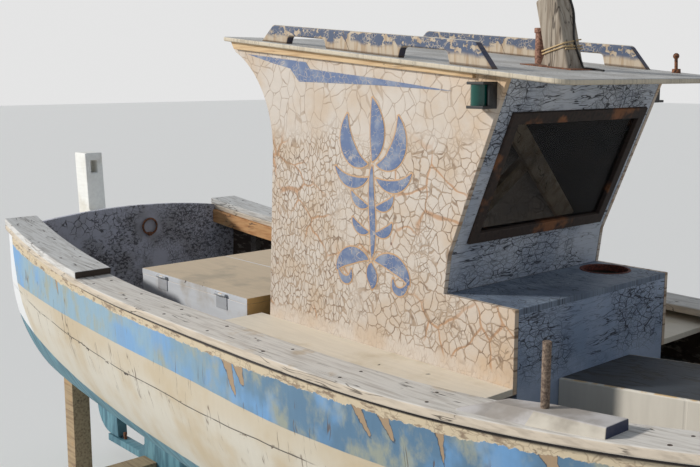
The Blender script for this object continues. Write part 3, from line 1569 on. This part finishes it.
@dataclass
class SideArt:
    """Painted stripe and sprig on both sides of the wheelhouse."""

    centre: tuple[float, float] = (0.043, 1.755)
    side_y: float = 0.399
    halo: float = 0.005
    layer: float = 0.00003
    sprig_depth: float = 0.0012
    halo_depth: float = 0.0004
    stripe_depth: float = 0.0011
    stripe: tuple[tuple[float, float], ...] = (
        (-0.622, 2.214), (-0.473, 2.181), (-0.373, 2.162), (-0.327, 2.118), (0.055, 2.110), (0.381, 2.096),
        (0.054, 2.131), (-0.267, 2.160), (-0.288, 2.183),
    )
    middle: tuple[Leaf, ...] = (
        Leaf(((0.0, 0.115), (0.034, 0.17), (0.03, 0.24), (0.0, 0.315)), 0.062),
        Leaf(((0.0, -0.20), (0.014, -0.1), (-0.012, 0.0), (0.0, 0.10)), 0.026, 0.5),
        Leaf(((0.0, -0.215), (-0.012, -0.24), (0.014, -0.27), (0.0, -0.30)), 0.046),
    )
    paired: tuple[Leaf, ...] = (
        Leaf(((0.022, 0.105), (0.10, 0.10), (0.150, 0.17), (0.118, 0.262)), 0.064),
        Leaf(((0.020, 0.060), (0.07, 0.03), (0.135, 0.03), (0.178, 0.088)), 0.036),
        Leaf(((0.018, -0.030), (0.05, -0.035), (0.085, -0.02), (0.098, 0.012)), 0.028),
        Leaf(((0.016, -0.115), (0.05, -0.12), (0.080, -0.105), (0.092, -0.075)), 0.028),
        Leaf(((0.016, -0.205), (0.075, -0.185), (0.150, -0.205), (0.172, -0.262)), 0.054),
        Leaf(((0.166, -0.252), (0.150, -0.305), (0.095, -0.30), (0.100, -0.250)), 0.024),
    )

    def strokes(self) -> list[Leaf]:
        """Every stroke of the sprig."""
        return [*self.middle, *self.paired, *(leaf.mirrored() for leaf in self.paired)]

    def plates(self, name: str, outlines: Sequence[Sequence[tuple[float, float]]], depth: float,
               finish: Finish) -> None:
        """Thin plates of the outlines on both sides.

        Args:
            name: name of the piece.
            outlines: closed outlines in X and Z.
            depth: how far the plates stand off the wall.
            finish: finish of the plates.
        """
        shape = bmesh.new()
        for hand in (-1, 1):
            for index, outline in enumerate(outlines):
                corners = [Vector((x, hand * self.side_y, z)) for x, z in outline]
                slab(shape, corners, Vector((0.0, hand * (depth + index * self.layer), 0.0)))
        finish_piece(add_mesh(name, shape, finish), "hull", "blue_paint")

    def build(self) -> None:
        """Build the stripe, the sprig and the worn halo round it."""
        middle_x, middle_z = self.centre
        inner, outer = [], []
        for leaf in self.strokes():
            inner.append([(middle_x + x, middle_z + z) for x, z in leaf.outline(0.0)])
            outer.append([(middle_x + x, middle_z + z) for x, z in leaf.outline(self.halo)])
        self.plates("sprig", inner, self.sprig_depth, ART)
        self.plates("sprig_halo", outer, self.halo_depth, HALO)
        self.plates("side_stripe", [self.stripe], self.stripe_depth, ART)


@dataclass
class Wheelhouse(SubAssembly):
    """Wheelhouse walls, window, casing and roof."""

    pieces: list[Dressed] = field(default_factory=lambda: [
        Dressed("side_decks", DECK, 0.002),
        Dressed("cab_side_port", CREAM_SIDE, 0.002, move=ROOF_LINE.reached),
        Dressed("cab_side_starboard", CREAM_SIDE, 0.002, move=ROOF_LINE.reached),
        Dressed("wheelhouse_front", FRONT, 0.0015, move=ROOF_LINE.reached),
        Dressed("window_frame", FRAME, 0.003),
        Dressed("window_glass", PANE, 0.0),
        Dressed("window_braces", BRACE, 0.002),
        Dressed("casing_top", CASING_TOP, 0.0015),
        Dressed("casing_front", CASING_FRONT, 0.0015),
        Dressed("casing_rim", RIM, 0.0015),
        Dressed("cab_roof", ROOF, 0.005, move=ROOF_LINE.raised),
    ])
    art: SideArt = field(default_factory=SideArt)
    side_y: float = 0.399
    # x of the corner, and how far it is under the roof boards
    batten_corners: tuple[tuple[float, float], ...] = (
        (-0.712, 0.0), (0.470, 0.0), (0.470, 0.014), (-0.694, 0.026))
    batten_thick: float = 0.014
    batten_sink: float = 0.001
    batten_edge: float = 0.002

    def build_mouldings(self) -> None:
        """Battens under the roof's overhang, deeper aft."""
        shape = bmesh.new()
        for hand in (-1, 1):
            corners = []
            for x, drop in self.batten_corners:
                height = ROOF_LINE.top(x) - ROOF_LINE.thick - drop
                corners.append(Vector((x, hand * (self.side_y - self.batten_sink), height)))
            slab(shape, corners, Vector((0.0, hand * self.batten_thick, 0.0)))
        obj = add_mesh("roof_battens", shape, BATTEN)
        round_edges(obj, self.batten_edge)
        finish_piece(obj, "hull", "orange_wood")

    def build(self) -> None:
        """Build every piece of the wheelhouse."""
        super().build()
        self.build_mouldings()
        self.art.build()


@dataclass
class RoofFittings(SubAssembly):
    """Grab rails, mast with its lashing, vent pipe, side lights and a bolt."""

    pieces: list[Dressed] = field(default_factory=lambda: [
        Dressed("mast", MAST, 0.010),
        Dressed("mast_plate", RUSTY, 0.0008, move=ROOF_LINE.raised),
        Dressed("vent_pipe", PIPE, 0.002, move=ROOF_LINE.raised),
    ])
    rail_y: float = 0.387
    rail_thick: float = 0.028
    rail_height: float = 0.086
    rail_ends: tuple[float, float] = (-0.540, 0.535)
    end_slope: float = 0.070
    bar: float = 0.034
    hole_slope: float = 0.011
    holes: tuple[tuple[float, float], ...] = ((-0.392, -0.184), (0.160, 0.368))
    shoulder_r: tuple[float, float] = (0.018, 0.026)
    hole_r: float = 0.016
    rail_sink: float = 0.002
    rail_edge: float = 0.006
    mast_foot: tuple[float, float] = (0.485, 0.0)
    mast_half: float = 0.041
    mast_rake: float = 14.0
    light_x: tuple[float, float] = (0.488, 0.550)
    light_z: tuple[float, float] = (2.050, 2.124)
    light_y: tuple[float, float] = (0.399, 0.458)
    light_back: float = 0.022
    light_cheek: float = 0.012
    light_plate: float = 0.008
    light_edge: float = 0.0012
    lens_place: tuple[float, float] = (0.5135, 0.432)
    lens_r: float = 0.0245
    lens_play: float = 0.00025
    twine_r: float = 0.0022
    # lower and upper height of each turn up the mast, and how many of its points are kept
    twine_turns: tuple[tuple[float, float, int], ...] = (
        (0.062, 0.070, 21), (0.070, 0.080, 21), (0.080, 0.128, 10))
    knot_place: tuple[float, float, float] = (0.072, 0.044, -0.012)
    knot_r: float = 0.006
    cable_r: float = 0.0032
    cable_ends: tuple[float, float] = (0.225, 0.020)
    cable_off: float = 0.0035
    cable_side: float = 0.018
    cable_sway: float = 0.010
    cable_bend: float = 7.0
    cable_steps: int = 24
    cable_on_roof: float = 0.0045
    roof_run_step: float = 0.008
    roof_run_steps: int = 11
    roof_run_y: float = 0.020
    roof_run_sway: float = 0.012
    roof_run_bend: float = 3.0
    wedge_gap: float = 0.004
    # distance forward of the wedge's fore edge, and height over the roof
    wedge_corners: tuple[tuple[float, float], ...] = (
        (-0.034, 0.003), (0.001, 0.003), (-0.010, 0.050), (-0.016, 0.050))
    wedge_wide: float = 0.048
    wedge_edge: float = 0.002
    bolt_place: tuple[float, float] = (0.640, 0.372)
    bolt_sink: float = 0.001
    bolt_lean: float = 0.003
    bolt_tall: float = 0.050
    bolt_r: float = 0.0055
    eye_r: float = 0.010
    eye_height: float = 0.054
    nut: tuple[float, float, float] = (0.014, 0.013, 0.014)

    def rail_outline(self) -> list[tuple[float, float, float]]:
        """Lay out the corners of a rail.

        Returns:
            Each corner's x, height over the roof and radius.
        """
        aft, fore = self.rail_ends
        aft_r, fore_r = self.shoulder_r
        hole_top = self.rail_height - self.bar
        corners = [(aft, 0.0, 0.0), (aft + self.end_slope, self.rail_height, aft_r)]
        corners += [(fore - self.end_slope, self.rail_height, fore_r), (fore, 0.0, 0.0)]
        for hole_aft, hole_fore in self.holes[::-1]:
            corners += [(hole_fore, 0.0, 0.0), (hole_fore - self.hole_slope, hole_top, self.hole_r)]
            corners += [(hole_aft + self.hole_slope, hole_top, self.hole_r), (hole_aft, 0.0, 0.0)]
        return corners

    def rounded(self, corners: Sequence[tuple[float, float, float]],
                steps: int = 6) -> list[tuple[float, float]]:
        """Round the corners of an outline to their radii.

        Args:
            corners: each corner's x, height over the roof and radius.
            steps: pieces of a rounded corner.

        Returns:
            Points of the outline in order.
        """
        points = []
        places = []
        for x, height, _ in corners:
            foot = ROOF_LINE.top(x) - self.rail_sink
            places.append(Vector((x, ROOF_LINE.solid(x) + height if height else foot)))
        for index, (_, _, radius) in enumerate(corners):
            here = places[index]
            if not radius:
                points.append(tuple(here))
                continue
            back = (places[index - 1] - here).normalized()
            ahead = (places[(index + 1) % len(places)] - here).normalized()
            half = math.acos(max(-1.0, min(1.0, back.dot(ahead)))) / 2
            start = here + back * (radius / math.tan(half))
            end = here + ahead * (radius / math.tan(half))
            centre = here + (back + ahead).normalized() * (radius / math.sin(half))
            for step in range(steps + 1):
                spoke = (start - centre).slerp(end - centre, step / steps).normalized() * radius
                points.append(tuple(centre + spoke))
        return points

    def build_rails(self) -> None:
        """Both grab rails, with rounded shoulders and hand holes."""
        shape = bmesh.new()
        outline = self.rounded(self.rail_outline())
        for hand in (-1, 1):
            y = hand * self.rail_y - self.rail_thick / 2
            slab(shape, [Vector((x, y, z)) for x, z in outline], Vector((0.0, self.rail_thick, 0.0)))
        obj = add_mesh("grab_rails_worn", shape, RAIL, SMOOTH_ANGLE)
        round_edges(obj, self.rail_edge, 3)
        finish_piece(obj, "hull", "blue_paint", "grab_rails")

    def build_lights(self) -> None:
        """Both side lights: a black housing and a round coloured glass."""
        shape = bmesh.new()
        (aft, fore), (low, high), (wall, out) = self.light_x, self.light_z, self.light_y
        lens_x, lens_y = self.lens_place
        back, plate = wall + self.light_back, self.light_plate
        blocks = (
            (aft, fore, wall, back, low, high),
            (aft, fore, back, out, low, low + plate),
            (aft, fore, back, out, high - plate, high),
            (fore - plate, fore, back, back + self.light_cheek, low + plate, high - plate),
        )
        for hand, name, finish in ((-1, "green", GREEN_LENS), (1, "red", RED_LENS)):
            for x_low, x_high, y_low, y_high, z_low, z_high in blocks:
                corners = [Vector((x, hand * y_low, z)) for x, z in
                           ((x_low, z_low), (x_high, z_low), (x_high, z_high), (x_low, z_high))]
                slab(shape, corners, Vector((0.0, hand * (y_high - y_low), 0.0)))
            glass = bmesh.new()
            middle = Vector((lens_x, hand * lens_y, (low + high) / 2))
            bmesh.ops.create_cone(glass, cap_ends=True, segments=32, radius1=self.lens_r, radius2=self.lens_r,
                                  depth=high - low - 2 * (plate + self.lens_play),
                                  matrix=Matrix.Translation(middle))
            lens = add_mesh(f"side_glass_{name}", glass, finish, SHARP_ANGLE)
            finish_piece(lens, "hull", f"{name}_lens", f"lens_{name}")
        housing = add_mesh("side_light_cases", shape, BLACK)
        round_edges(housing, self.light_edge)
        finish_piece(housing, "hull", "lamp_black", "side_light_housings")

    def on_mast(self, along: float, ahead: float, side: float) -> Vector:
        """Find a place in the mast's own frame.

        Args:
            along: distance up its length.
            ahead: distance forward of its middle line.
            side: distance to port.

        Returns:
            The place.
        """
        rake = math.radians(self.mast_rake)
        foot = Vector((self.mast_foot[0], self.mast_foot[1], ROOF_LINE.solid(self.mast_foot[0])))
        axis = Vector((-math.sin(rake), 0.0, math.cos(rake)))
        front = Vector((math.cos(rake), 0.0, math.sin(rake)))
        return foot + axis * along + front * ahead + Vector((0.0, side, 0.0))

    def square_turn(self, low: float, high: float, off: float, steps: int = 5) -> list[Vector]:
        """Lay one turn of line round the mast.

        Args:
            low: height up the mast where it starts.
            high: height where it ends.
            off: distance of its middle line from the wood.
            steps: pieces along each side of the mast.

        Returns:
            Its points in order.
        """
        half = self.mast_half + off
        corners = ((half, -half), (half, half), (-half, half), (-half, -half), (half, -half))
        points = []
        for index, (here, there) in enumerate(zip(corners, corners[1:])):
            for step in range(steps):
                share = step / steps
                along = low + (high - low) * (index + share) / (len(corners) - 1)
                ahead, side = (start + (end - start) * share for start, end in zip(here, there))
                points.append(self.on_mast(along, ahead, side))
        points.append(self.on_mast(high, half, -half))
        return points

    def build_lashing(self) -> None:
        """Twine round the mast with a knot, and a black cable down its fore side."""
        shape = bmesh.new()
        path = []
        for low, high, count in self.twine_turns:
            turn = self.square_turn(low, high, self.twine_r)[:count]
            path += turn[1:] if path else turn
        tube(shape, path, self.twine_r, 6)
        knot = Matrix.Translation(self.on_mast(*self.knot_place))
        bmesh.ops.create_icosphere(shape, subdivisions=2, radius=self.knot_r, matrix=knot)
        finish_piece(add_mesh("mast_twine", shape, TWINE, ROUND_ANGLE), "hull", "orange_wood")
        shape = bmesh.new()
        path = []
        top, foot = self.cable_ends
        for step in range(self.cable_steps + 1):
            share = step / self.cable_steps
            side = self.cable_side + self.cable_sway * math.sin(self.cable_bend * share)
            path.append(self.on_mast(top * (1 - share) + foot * share, self.mast_half + self.cable_off, side))
        foot_x = path[-1].x
        for step in range(1, self.roof_run_steps + 1):
            x = foot_x + self.roof_run_step * step
            y = self.roof_run_y + self.roof_run_sway * math.sin(step / self.roof_run_bend)
            path.append(Vector((x, y, ROOF_LINE.top(x) + self.cable_on_roof)))
        tube(shape, path, self.cable_r, 8)
        finish_piece(add_mesh("mast_cable", shape, BLACK, ROUND_ANGLE), "hull", "lamp_black")

    def build_wedge(self) -> None:
        """Wooden wedge at the mast's after side."""
        shape = bmesh.new()
        fore = self.mast_foot[0] - self.mast_half - self.wedge_gap
        outline = []
        for ahead, height in self.wedge_corners:
            x = fore + ahead
            outline.append(Vector((x, -self.wedge_wide / 2, ROOF_LINE.top(x) + height)))
        slab(shape, outline, Vector((0.0, self.wedge_wide, 0.0)))
        obj = add_mesh("mast_wedge", shape, MAST)
        round_edges(obj, self.wedge_edge)
        finish_piece(obj, "hull", "dark_wood")

    def build_bolt(self) -> None:
        """Eye bolt with its nut on the roof's fore corner to port."""
        shape = bmesh.new()
        x, y = self.bolt_place
        base = ROOF_LINE.top(x) - self.bolt_sink
        foot, top, tall = self.nut
        bmesh.ops.create_cone(shape, cap_ends=True, segments=6, radius1=foot, radius2=top, depth=tall,
                              matrix=Matrix.Translation((x, y, base + tall / 2)))
        leaning_x = x - self.bolt_lean
        tube(shape, [Vector((x, y, base)), Vector((leaning_x, y, base + self.bolt_tall))], self.bolt_r, 10)
        bmesh.ops.create_uvsphere(shape, u_segments=12, v_segments=8, radius=self.eye_r,
                                  matrix=Matrix.Translation((leaning_x, y, base + self.eye_height)))
        finish_piece(add_mesh("roof_bolt", shape, RUSTY, SHARP_ANGLE), "hull", "rusty_iron")

    def build(self) -> None:
        """Build every fitting on the roof."""
        super().build()
        self.build_rails()
        self.build_lights()
        self.build_lashing()
        self.build_wedge()
        self.build_bolt()


@dataclass
class Well(SubAssembly):
    """Fore well with its trunk, decks, pads and thole pins."""

    pieces: list[Dressed] = field(default_factory=lambda: [
        Dressed("well_deck", WELL, 0.0),
        Dressed("foredeck", DECK, 0.002),
        Dressed("hatch_trunk", TRUNK, 0.006),
    ])
    hull: Hull = field(default_factory=Hull)
    pad_fore_x: float = 1.150
    # distance from the fore end and height, then how far in from the cap's edge are the
    # foot, the top, the inner top and the inner foot
    pad_sections: tuple[tuple[float, ...], ...] = (
        (0.397, 0.003, 0.024, 0.030, 0.052, 0.058),
        (0.316, 0.022, 0.017, 0.078, 0.128, 0.138),
        (0.199, 0.028, 0.015, 0.054, 0.125, 0.133),
        (0.0, 0.028, 0.013, 0.015, 0.102, 0.104),
    )
    pad_sink: float = 0.004
    pad_edge: float = 0.004
    pin_x: float = 0.957
    pin_inset: float = 0.086
    pin_r: float = 0.011
    pin_foot: float = 0.024
    pin_length: float = 0.168
    pin_edge: float = 0.0015

    def build_pads(self) -> None:
        """Thole pads hewn down to a thin tail aft."""
        shape = bmesh.new()
        for hand in (-1, 1):
            rings = []
            for back, height, foot, top, inner_top, inner_foot in self.pad_sections:
                x = self.pad_fore_x - back
                seat = SHEER.height(x) + self.hull.cap_thick
                ring = []
                for inset, rise in ((foot, -self.pad_sink), (top, height), (inner_top, height),
                                    (inner_foot, -self.pad_sink)):
                    y = hand * self.hull.half_beam(x, self.hull.overhang - inset)
                    ring.append(shape.verts.new((x, y, seat + rise)))
                rings.append(ring)
            for ring, ahead in zip(rings, rings[1:]):
                for step, corner in enumerate(ring):
                    after = (step + 1) % len(ring)
                    shape.faces.new((corner, ring[after], ahead[after], ahead[step]))
            shape.faces.new(rings[0])
            shape.faces.new(rings[-1])
        bmesh.ops.recalc_face_normals(shape, faces=shape.faces)
        pads = add_mesh("hewn_pads", shape, PAD)
        round_edges(pads, self.pad_edge, 3)
        finish_piece(pads, "hull", "grey_wood", "thole_pads")

    def build_pins(self) -> None:
        """Plain round iron pins."""
        shape = bmesh.new()
        foot = SHEER.height(self.pin_x) + self.hull.cap_thick + self.pin_foot
        y = self.hull.half_beam(self.pin_x, self.hull.overhang - self.pin_inset)
        for hand in (-1, 1):
            middle = Vector((self.pin_x, hand * y, foot + self.pin_length / 2))
            bmesh.ops.create_cone(shape, cap_ends=True, segments=32, radius1=self.pin_r, radius2=self.pin_r,
                                  depth=self.pin_length, matrix=Matrix.Translation(middle))
        pins = add_mesh("iron_pins", shape, PIN, SHARP_ANGLE)
        round_edges(pins, self.pin_edge)
        finish_piece(pins, "hull", "rusty_iron", "thole_pins")

    def build(self) -> None:
        """Build every piece of the fore well."""
        super().build()
        self.build_pads()
        self.build_pins()


@dataclass
class SternGear(SubAssembly):
    """Rudder, its irons, and the screw."""

    pieces: list[Dressed] = field(default_factory=lambda: [
        Dressed("rudder_stock", HEAD, 0.007),
        Dressed("rudder_blade", HULL, 0.004),
        Dressed("rudder_gudgeons", RUSTY, 0.001),
        Dressed("rudder_pintles", RUSTY, 0.001),
        Dressed("stern_tube", BRONZE, 0.001),
        Dressed("propeller", BRONZE, 0.0),
        Dressed("shaft", STEEL, 0.0),
    ])


@dataclass
class Chocks(SubAssembly):
    """Ground timbers under the keel."""

    pieces: list[Dressed] = field(default_factory=lambda: [Dressed("cradles", TIMBER, 0.005)])


@dataclass
class Studio:
    """Camera, lights and floor."""

    camera_place: tuple[float, float, float] = (2.310, -2.499, 2.150)
    heading: float = 48.5
    pitch: float = 9.43
    lens: float = 50.0
    sees_to: float = 200.0
    key_from: tuple[float, float, float] = (-0.646, -0.646, 0.407)
    key_strength: float = 3.1
    key_angle: float = 6.0
    key_colour: tuple[float, float, float] = (1.0, 0.96, 0.90)
    fill: float = 0.33
    fill_colour: Colour = (0.80, 0.91, 1.06, 1.0)
    seen: float = 0.78
    seen_colour: Colour = (1.0, 1.0, 1.0, 1.0)
    floor_half: float = 60.0

    def build(self) -> None:
        """Make the camera, the key light, the world and the floor."""
        scene = bpy.context.scene
        camera = bpy.data.objects.new("camera", bpy.data.cameras.new("camera"))
        camera.data.lens = self.lens
        camera.data.clip_end = self.sees_to
        camera.location = self.camera_place
        camera.rotation_euler = (math.radians(90 - self.pitch), 0.0, math.radians(self.heading))
        scene.collection.objects.link(camera)
        scene.camera = camera
        sun = bpy.data.objects.new("key", bpy.data.lights.new("key", "SUN"))
        sun.data.energy = self.key_strength
        sun.data.angle = math.radians(self.key_angle)
        sun.data.color = self.key_colour
        sun.rotation_euler = Vector(self.key_from).to_track_quat("Z", "Y").to_euler()
        scene.collection.objects.link(sun)
        self.build_world(scene)
        self.build_floor()
        scene.view_settings.view_transform = "Standard"

    def build_world(self, scene: bpy.types.Scene) -> None:
        """Make a pale world that the camera and mirrors see as near white.

        Args:
            scene: the scene.
        """
        scene.world = bpy.data.worlds.new("world")
        tree = Tree(scene.world)
        path = tree.node("ShaderNodeLightPath")
        rays = [Wire(tree, path.outputs[f"Is {ray} Ray"]) for ray in ("Camera", "Glossy", "Transmission")]
        share = tree.top(tree.top(rays[0], rays[1]), rays[2])
        strength = tree.wire("ShaderNodeMapRange",
                             inputs={"Value": share, "To Min": self.fill, "To Max": self.seen})
        tint = tree.mix(share, self.fill_colour, self.seen_colour)
        background = tree.wire("ShaderNodeBackground", inputs={"Color": tint, "Strength": strength})
        tree.node("ShaderNodeOutputWorld", inputs={"Surface": background})

    def build_floor(self) -> None:
        """Wide pale floor at the height of the chocks' feet."""
        shape = bmesh.new()
        half = self.floor_half
        corners = ((-half, -half), (half, -half), (half, half), (-half, half))
        shape.faces.new([shape.verts.new((x, y, 0.0)) for x, y in corners])
        add_mesh("floor", shape, Floor("studio_floor"))


def main() -> None:
    """Build the studio and every sub-assembly, and report them."""
    logging.basicConfig(level=logging.INFO, format="%(name)s: %(message)s")
    Studio().build()
    for part in (Hull(), Cockpit(), Wheelhouse(), RoofFittings(), Well(), SternGear(), Chocks()):
        LOG.info("building %s", type(part).__name__)
        part.build()


if __name__ == "__main__":
    main()
